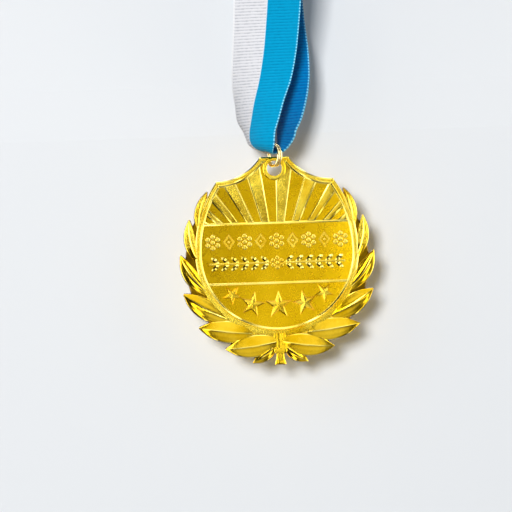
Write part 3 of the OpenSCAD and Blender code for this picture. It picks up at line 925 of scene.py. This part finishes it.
def smooth(t):
    t = min(max(t, 0), 1)
    return t * t * (3 - 2 * t)


def wire_row(turned, r=WIRE_R):
    a = math.radians(turned + SPLIT_AT)
    outward = RING_DIR * math.sin(a) - UP * math.cos(a)
    coil = COIL_HALF * (2 * smooth((turned - 360) / CROSS_SPAN + 0.5) - 1)
    row = []
    for j in range(WIRE_SIDES):
        b = math.radians(j * 360 / WIRE_SIDES)
        off = outward * (RING_MID_R + r * math.cos(b)) + RING_AXIS * (coil + r * math.sin(b))
        row.append(RING_MID + off)
    return row


first, span = CROSS_SPAN / 2, 720 - CROSS_SPAN
wire_rows = [wire_row(first, WIRE_R * END_SHARE)]
wire_rows += [wire_row(first + 1 + (span - 2) * i / WIRE_STEPS) for i in range(WIRE_STEPS + 1)]
wire_rows.append(wire_row(first + span, WIRE_R * END_SHARE))
coils = loft(wire_rows, caps=(True, True))
made("split_ring_wire", coils, ring_gilt, "neck_loop", "split_ring", 40)

# %% [markdown]
# ## Neck ribbon
# The ribbon is one closed band of woven cloth, 22 mm wide. Cloth can be simulated, but a ribbon
# that hangs taut keeps the form that its fold gives it, and drawing it holds its length exactly.
# It is drawn by its middle surface: a fold inside the ring, a scoop from the ring into each
# strand, a gathered stretch that opens from curled to flat, a straight run, and the bend over the
# neck. A row of a strand's table gives height, place across, place forward, turn and curl of one
# section, the first in shares of the gathered height and the next two in widths of the ribbon.

# %% Sections of the ribbon
RIBBON_W, CLOTH_T, NECK_R, GATHER_H, CAD_RIBBON_T = 22.0, 0.5, 56.0, 44.0, 1.0
FRONT_STRAND = [
    (0.12, -0.345, 0.05, 66, 50),
    (0.18, -0.346, 0.068, 60, 44),
    (0.25, -0.323, 0.1, 51, 34),
    (0.4, -0.264, 0.15, 40, 27),
    (0.55, -0.186, 0.2, 26, 18),
    (0.75, -0.11, 0.275, 15, 11),
    (1, -0.05, 0.364, 6, 5),
]
BACK_STRAND = [
    (0.17, 0.064, -0.236, 57, 1),
    (0.25, 0.091, -0.24, 50, 2),
    (0.4, 0.123, -0.25, 40, 4),
    (0.55, 0.132, -0.273, 30, 4),
    (0.75, 0.1, -0.314, 16, 3),
    (1, 0.045, -0.368, 6, 1),
]
FOLD_SPREAD, FOLD_R, FOLD_SAG = 75, 2.4, 60
FRONT_SCOOP, BACK_SCOOP = (3.6, 2.4, 0.82, 0.75), (2.4, 1.3, 0.36, 0)
NECK_PATH_R, HALF_W = NECK_R + CAD_RIBBON_T / 2, RIBBON_W / 2
SCOOP_STEPS, RUN_STEPS, BEND_STEPS = 6, 3, 11


def row_point(row, u):
    height, across, forward, turn, curl = row
    t, c = math.radians(turn), math.radians(curl)
    bent_x = (math.sin(t) - math.sin(t - c * u)) / c
    bent_y = (math.cos(t - c * u) - math.cos(t)) / c
    x, y = across * RIBBON_W + HALF_W * bent_x, -forward * RIBBON_W - HALF_W * bent_y
    return Vector((x, y, height * GATHER_H - DROP))


def fold_point(u):
    a = math.radians(FOLD_SPREAD * u)
    return RING_MID + FOLD_R * (math.sin(a) * RING_DIR + math.cos(a) * UP)


def scoop_point(row, side, u, t):
    """A Bezier curve from the fold in the ring to a strand's first section."""
    lead, sag, belly, tuck = FRONT_SCOOP if side < 0 else BACK_SCOOP
    start, end = fold_point(u), row_point(row, u)
    held = tuck * max(-u, 0) ** 1.5
    drop = sag * (1 - held) * math.cos(math.radians(FOLD_SAG * u))
    b = start + side * lead * (1 - held / 2) * RING_AXIS - drop * UP
    c = end - belly * (1 - held) * (end.z - start.z) * UP
    return (1 - t) ** 3 * start + 3 * (1 - t) ** 2 * t * b + 3 * (1 - t) * t * t * c + t**3 * end


def neck_point(side, angle, u):
    y, z = side * NECK_PATH_R * math.sin(angle), -NECK_R - NECK_PATH_R * math.cos(angle)
    return Vector((HALF_W * u, y, z))


def strand(rows, side, u):
    last = rows[-1]
    y, down = abs(last[2]) * RIBBON_W, DROP - NECK_R - last[0] * GATHER_H
    leaves_at = math.atan2(y, down) + math.acos(NECK_PATH_R / math.hypot(y, down))
    start, end = row_point(last, u), neck_point(side, leaves_at, u)
    points = [scoop_point(rows[0], side, u, i / SCOOP_STEPS) for i in range(1, SCOOP_STEPS)]
    points += [row_point(row, u) for row in rows]
    points += [start.lerp(end, i / RUN_STEPS) for i in range(1, RUN_STEPS)]
    for i in range(BEND_STEPS):
        angle = leaves_at + (math.pi - leaves_at) * i / BEND_STEPS
        points.append(neck_point(side, angle, u))
    return points


def loop_line(u):
    front, back = strand(FRONT_STRAND, -1, u), strand(BACK_STRAND, 1, u)
    return [fold_point(u)] + front + [neck_point(1, math.pi, u)] + back[::-1]


print(len(loop_line(0)), "sections round the loop")

# %% [markdown]
# A curve through these sections gives a point for every step of length. Its slope at each knot
# comes from the steps before and after it, weighted by their lengths, so long and short steps
# join softly.

# %% A point for every step of length
HALF_U = [0.03, 0.2, 0.4, 0.6, 0.8, 0.93, 0.975, 1]
ACROSS_U = [-u for u in reversed(HALF_U)] + HALF_U
MIDDLE, STEPS_TO_KNOT, RIB_PITCH = [7, 8], 60, 1.0
lines = np.array([[list(p) for p in loop_line(u)] for u in ACROSS_U]).transpose(1, 0, 2)
knots = len(lines)
step = np.roll(lines, -1, axis=0) - lines
step_length = np.linalg.norm(step, axis=2).mean(axis=1)[:, None, None]
step_slope = step / step_length
before = np.roll(step_length, 1, axis=0)
weighted = np.roll(step_slope, 1, axis=0) * step_length + step_slope * before
knot_slope = weighted / (step_length + before)


def on_loop(t):
    """The ribbon's section at t, counted in knots, by a curve that passes through every knot."""
    i = int(math.floor(t)) % knots
    k, f = (i + 1) % knots, t - math.floor(t)
    return cubic(f, step_length[i], lines[i], lines[k], knot_slope[i], knot_slope[k])


dense = np.linspace(0, knots, knots * STEPS_TO_KNOT + 1)
middle = np.array([on_loop(t)[MIDDLE].mean(axis=0) for t in dense])
run = np.concatenate([[0], np.cumsum(np.linalg.norm(np.diff(middle, axis=0), axis=1))])
LOOP_LENGTH = float(run[-1])
RIB_COUNT = round(LOOP_LENGTH / RIB_PITCH)
print(f"ribbon loop {LOOP_LENGTH:.1f} mm, {RIB_COUNT} ribs")

# %% [markdown]
# ## Ribs of the cloth
# A ribbed ribbon has a rib across it at every thick weft thread, about one to a millimetre. A
# bump would shade them but leave the outline smooth, so they are raised in the mesh. The ribs
# near the ring, which the camera sees, have six rows of points each, and the others three. The
# outer and the inner face are joined round both selvedges into one closed wall.

# %% Ribs and cloth
NEAR_RIBS, NEAR_ROWS, RIB_H, RIB_SINK = 75, 6, 0.09, 0.06
SELVEDGE_FROM, SELVEDGE_RIB = 0.95, 0.5
NEAR_AT = [k / NEAR_ROWS for k in range(NEAR_ROWS)]
NEAR_FORM = [(part, abs(math.sin(math.pi * part)) ** 0.7) for part in NEAR_AT]
FAR_FORM = [(0.0, 0.0), (0.3, 1.0), (0.7, 1.0)]
stops = []
for rib in range(RIB_COUNT):
    near = min(rib, RIB_COUNT - rib) <= NEAR_RIBS
    stops += [(rib + part, rise) for part, rise in (NEAR_FORM if near else FAR_FORM)]
at = np.interp([s * LOOP_LENGTH / RIB_COUNT for s, _ in stops], run, dense)
sections = np.array([on_loop(t) for t in at])
along = np.roll(sections, -1, axis=0) - np.roll(sections, 1, axis=0)
normal = np.cross(along, np.gradient(sections, axis=1))
normal /= np.linalg.norm(normal, axis=2, keepdims=True)
share = np.array([SELVEDGE_RIB if abs(u) > SELVEDGE_FROM else 1.0 for u in ACROSS_U])
ribs = np.array([rise for _, rise in stops])[:, None] * share[None, :]
offset = (CLOTH_T / 2 - RIB_SINK + RIB_H * ribs)[:, :, None]
outer, inner = sections - normal * offset, sections + normal * offset
cloth_rows = np.concatenate([outer, inner[:, ::-1]], axis=1)
print(f"ribbon {cloth_rows.shape[0]} rows of {cloth_rows.shape[1]} points")

# %% [markdown]
# ## Ribbon cloth
# The weave is drawn from the cloth's own coordinates, kept as a UV map: u runs across the width
# and v counts ribs, and 2 is added to u on the inner face. So every thread stays at its place
# however the ribbon bends, and no image is needed. White and blue meet in a pale line, the blue
# selvedge has a bright stitch at every rib and the white selvedge is a smooth edge. The inner
# face is painted a deeper blue: painted shade, for the back strand that shows it lies in the
# front strand's shadow, while the real cloth has the same blue on both faces.

# %% Helpers for the cloth
cloth = bpy.data.materials.new("ribbon_cloth")
cloth.use_nodes = True
tree = cloth.node_tree
shader = tree.nodes["Principled BSDF"]
shader.inputs["Roughness"].default_value = 0.62
shader.inputs["Sheen Weight"].default_value = 0.08
shader.inputs["Specular IOR Level"].default_value = 0.2
shader.inputs["Sheen Roughness"].default_value = 0.4


def fed(node, values):
    """Put plain values into a node's sockets, and links where a value is a socket."""
    for key, value in values:
        if isinstance(value, tuple):
            node.inputs[key].default_value = (*value, 1)
        elif isinstance(value, (int, float)):
            node.inputs[key].default_value = value
        else:
            tree.links.new(value, node.inputs[key])


def math_node(operation, *values):
    node = add(tree, "Math", operation=operation)
    fed(node, enumerate(values))
    return node.outputs[0]


def ramp(value, low, high, out_low=0.0, out_high=1.0):
    node = add(tree, "MapRange")
    names = ("Value", "From Min", "From Max", "To Min", "To Max")
    fed(node, zip(names, (value, low, high, out_low, out_high)))
    return node.outputs["Result"]


def mixed(factor, a, b):
    node = add(tree, "Mix", data_type="RGBA")
    fed(node, ((0, factor), (6, a), (7, b)))
    return node.outputs[2]


# %% Masks of the weave
WARP_THREADS = 62
weave_map = add(tree, "UVMap", uv_map="weave")
split = add(tree, "SeparateXYZ")
wander = add(tree, "TexNoise", {"Scale": 900.0, "Detail": 2.0})
wire(tree, weave_map, "UV", split, 0)
wire(tree, add(tree, "TexCoord"), "Object", wander, "Vector")
u, v = split.outputs[0], split.outputs[1]
face_side = math_node("GREATER_THAN", u, 1.5)
u_face = math_node("SUBTRACT", u, math_node("MULTIPLY", face_side, 2.0))
rib_wave = math_node("ABSOLUTE", math_node("SINE", math_node("MULTIPLY", v, math.pi)))
uneven = ramp(wander.outputs["Fac"], 0.3, 0.7, -0.25, 0.25)
rib_shade = ramp(math_node("ADD", rib_wave, uneven), 0.0, 0.7)
threads = math_node("MULTIPLY", u_face, math.pi * WARP_THREADS)
warp = math_node("ABSOLUTE", math_node("SINE", threads))
print("masks", len(tree.nodes), "nodes")

# %% Colours of the cloth
SKY, SKY_DARK = (0.0, 0.335, 0.61), (0.0, 0.25, 0.48)
# The deeper blue of the inner face is painted shade, not a dye of its own.
SHADE_BLUE, SHADE_BLUE_DARK = (0.0, 0.205, 0.52), (0.0, 0.11, 0.36)
WHITE, WHITE_DARK, EDGE_WHITE = (0.80, 0.80, 0.83), (0.50, 0.51, 0.55), (0.9, 0.9, 0.92)
SEAM, STITCH = (0.75, 0.86, 0.92), (0.25, 0.75, 1.0)
# The darker colours fill the grooves between ribs: painted shade, on top of the shade that the
# raised ribs cast.
sky, deep = mixed(rib_shade, SKY_DARK, SKY), mixed(rib_shade, SHADE_BLUE_DARK, SHADE_BLUE)
white = mixed(rib_shade, WHITE_DARK, WHITE)
# On the inner face the blue is the deeper one, a painted shade.
halves = mixed(ramp(u_face, 0.497, 0.503), white, mixed(face_side, sky, deep))
seam = math_node("MULTIPLY", ramp(u_face, 0.488, 0.494), ramp(u_face, 0.502, 0.508, 1.0, 0.0))
halves = mixed(math_node("MULTIPLY", seam, 0.75), halves, SEAM)
dash = math_node("GREATER_THAN", rib_wave, 0.55)
halves = mixed(math_node("MULTIPLY", dash, ramp(u_face, 0.978, 0.986)), halves, STITCH)
halves = mixed(ramp(u_face, 0.016, 0.03, 1.0, 0.0), halves, EDGE_WHITE)
tree.links.new(halves, shader.inputs["Base Color"])
fuzz = math_node("MULTIPLY", wander.outputs["Fac"], 0.5)
height = math_node("ADD", math_node("MULTIPLY", warp, 0.35), fuzz)
bump = add(tree, "Bump", {"Strength": 0.7, "Distance": 0.06 * MM})
tree.links.new(height, bump.inputs["Height"])
wire(tree, bump, "Normal", shader, "Normal")
print("cloth", len(tree.nodes), "nodes")

# %% Ribbon piece
band = loft([[Vector(p) for p in row] for row in cloth_rows], ring=True)
ribbon = made("neck_ribbon_cloth", band, cloth, "neck_loop", "neck_ribbon", 75)
uv = ribbon.data.uv_layers.new(name="weave")
coordinates = np.zeros((len(ribbon.data.loops), 2))
count, girth = cloth_rows.shape[:2]
for face in ribbon.data.polygons:
    i, j = divmod(face.index, girth)
    inner_face = girth // 2 <= j < girth - 1
    for loop_index in face.loop_indices:
        station, sample = divmod(ribbon.data.loops[loop_index].vertex_index, girth)
        across = (ACROSS_U[min(sample, girth - 1 - sample)] + 1) / 2
        rib = RIB_COUNT if i == count - 1 and station == 0 else stops[station][0]
        coordinates[loop_index] = (across + 2 * inner_face, rib)
uv.data.foreach_set("uv", coordinates.ravel())

# %% [markdown]
# ## Stage
# A pale wall close behind takes a soft shadow at the lower right, as in the photograph. Its
# profile bends back above the medal and follows the back strand of the ribbon. It is there only
# where the camera's frame is, fades out round it, and can't be seen from behind. The floor glows
# a little, so that it is as pale as the wall. Neither of them lights the cloth or shows in the
# gold.


# %% Floor and wall
def plane(name, rows, material):
    mesh = bpy.data.meshes.new(name)
    points, faces = loft(rows, loop=False)
    mesh.from_pydata([Vector(p) * MM for p in points], [], faces)
    mesh.materials.append(material)
    obj = bpy.data.objects.new(name, mesh)
    bpy.context.scene.collection.objects.link(obj)
    obj.visible_glossy = obj.visible_diffuse = False
    return obj


def matt(name, color, glow=0.0):
    material = bpy.data.materials.new(name)
    material.use_nodes = True
    inputs = material.node_tree.nodes["Principled BSDF"].inputs
    inputs["Base Color"].default_value = inputs["Emission Color"].default_value = (*color, 1)
    inputs["Roughness"].default_value = 0.9
    inputs["Emission Strength"].default_value = glow
    return material


FLOOR_Z, FLOOR_HALF, WALL_HALF, WALL_Y = -520, 4000, 400, 20
WALL_BENDS = [(-800, WALL_Y), (-362, WALL_Y), (-345, WALL_Y + 2), (0, WALL_Y + 70)]
FADE_FROM, FADE_TO = 0.135, 0.21
ends = (-FLOOR_HALF, FLOOR_HALF)
floor_paint = matt("floor_paint", (0.8, 0.81, 0.83), glow=0.52)
plane("floor", [[(x, y, FLOOR_Z) for x in ends] for y in ends], floor_paint)
paint = matt("wall_paint", (0.78, 0.80, 0.82))
wall = plane("wall", [[(-WALL_HALF, y, z), (WALL_HALF, y, z)] for z, y in WALL_BENDS], paint)
wall.visible_shadow = False
tree = paint.node_tree
where = add(tree, "NewGeometry")
away = add(tree, "VectorMath", operation="DISTANCE")
away.inputs[1].default_value = stood(0, 0, 0) * MM + Vector((0, WALL_Y * MM, 0))
limits = {"From Min": FADE_FROM, "From Max": FADE_TO, "To Min": 1.0, "To Max": 0.0}
fade = add(tree, "MapRange", limits, interpolation_type="SMOOTHSTEP")
front = add(tree, "Math", {0: 1.0}, operation="SUBTRACT")
seen = add(tree, "Math", operation="MULTIPLY")
wire(tree, where, "Position", away, 0)
wire(tree, away, "Value", fade, "Value")
wire(tree, where, "Backfacing", front, 1)
wire(tree, fade, "Result", seen, 0)
wire(tree, front, 0, seen, 1)
wire(tree, seen, 0, tree.nodes["Principled BSDF"], "Alpha")
print(f"floor at z = {FLOOR_Z} mm, wall {WALL_Y} mm behind the ribbon's middle")

# %% [markdown]
# ## Light
# Gold lives from what it mirrors, and a plain white room would leave it flat. So the world is a
# studio that only mirrors see: bright far sides and two narrow bright strips with dark between
# them, brighter above than below. They give the streaks on the leaves and the lines on the
# bevels. Cloth and wall get an even soft light instead, the camera sees a pale grey, and the key
# lamp at the upper left throws the shadow.


# %% Lamps
def lamp(name, place, target, size, power):
    data = bpy.data.lights.new(name, "AREA")
    data.shape, data.size, data.size_y = "RECTANGLE", size[0], size[1]
    data.energy = power
    obj = bpy.data.objects.new(name, data)
    obj.location = place
    obj.rotation_mode = "QUATERNION"
    obj.rotation_quaternion = (Vector(target) - Vector(place)).to_track_quat("-Z", "Y")
    obj.visible_glossy = False
    bpy.context.scene.collection.objects.link(obj)
    print(f"lamp {name}, {power} W")


medal_at = (0, 0, MEDAL_Z * MM)
lamp("key", (-0.36, -1.85, -0.08), medal_at, (0.4, 0.4), 32)
lamp("soft_left", (-1.0, -0.9, 0.3), medal_at, (0.7, 0.7), 2)
lamp("soft_right", (1.0, -0.8, 0.0), medal_at, (0.5, 0.9), 1)
lamp("back_light", (0.5, 1.4, 0.5), (0, 0, -0.2), (0.8, 0.8), 6)

# %% World
ACROSS_STOPS = [
    (-1, 3.4), (-0.9, 3.2), (-0.78, 0.5), (-0.7, 0.05), (-0.44, 0.04), (-0.4, 4.5), (-0.35, 4.5),
    (-0.31, 0.15), (-0.24, 0.25), (-0.17, 0.85), (0, 0.98), (0.17, 0.95), (0.27, 0.5),
    (0.36, 0.15), (0.46, 0.12), (0.5, 3.6), (0.54, 3.6), (0.59, 0.12), (0.75, 0.4), (0.88, 3.0),
    (1, 3.2),
]
UPWARD_STOPS = [
    (-1, 0.35), (-0.8, 0.5), (-0.5, 0.75), (-0.3, 0.9), (0, 1.0), (0.3, 1.1), (0.8, 1.2),
    (0.9, 2.2), (1, 2.6),
]
SOFT_GREY, SEEN_GREY = (0.17, 0.174, 0.18, 1), (0.72, 0.74, 0.77, 1)
world = bpy.data.worlds.new("studio")
bpy.context.scene.world = world
world.use_nodes = True
tree = world.node_tree
tree.nodes.clear()
axes = add(tree, "SeparateXYZ")
wire(tree, add(tree, "TexCoord"), "Generated", axes, 0)


def brightness(axis, stops):
    """The room's brightness along one axis, from -1 to 1."""
    place = add(tree, "MapRange", {"From Min": -1.0, "From Max": 1.0})
    wire(tree, axes, axis, place, "Value")
    band = add(tree, "ValToRGB")
    elements = band.color_ramp.elements
    for position, value in stops[1:-1]:
        elements.new((position + 1) / 2).color = (value, value, value, 1)
    for element, (_, value) in ((elements[0], stops[0]), (elements[-1], stops[-1])):
        element.color = (value, value, value, 1)
    wire(tree, place, "Result", band, "Fac")
    return band


studio = add(tree, "Mix", {0: 1.0}, data_type="RGBA", blend_type="MULTIPLY")
wire(tree, brightness(0, ACROSS_STOPS), "Color", studio, 6)
wire(tree, brightness(2, UPWARD_STOPS), "Color", studio, 7)
path = add(tree, "LightPath")
soft = add(tree, "Mix", {6: SOFT_GREY}, data_type="RGBA")
wire(tree, path, "Is Glossy Ray", soft, 0)
wire(tree, studio, 2, soft, 7)
shown = add(tree, "Mix", {7: SEEN_GREY}, data_type="RGBA")
wire(tree, path, "Is Camera Ray", shown, 0)
wire(tree, soft, 2, shown, 6)
backdrop = add(tree, "Background")
wire(tree, shown, 2, backdrop, "Color")
wire(tree, backdrop, 0, add(tree, "OutputWorld"), 0)
print("world", len(tree.nodes), "nodes")
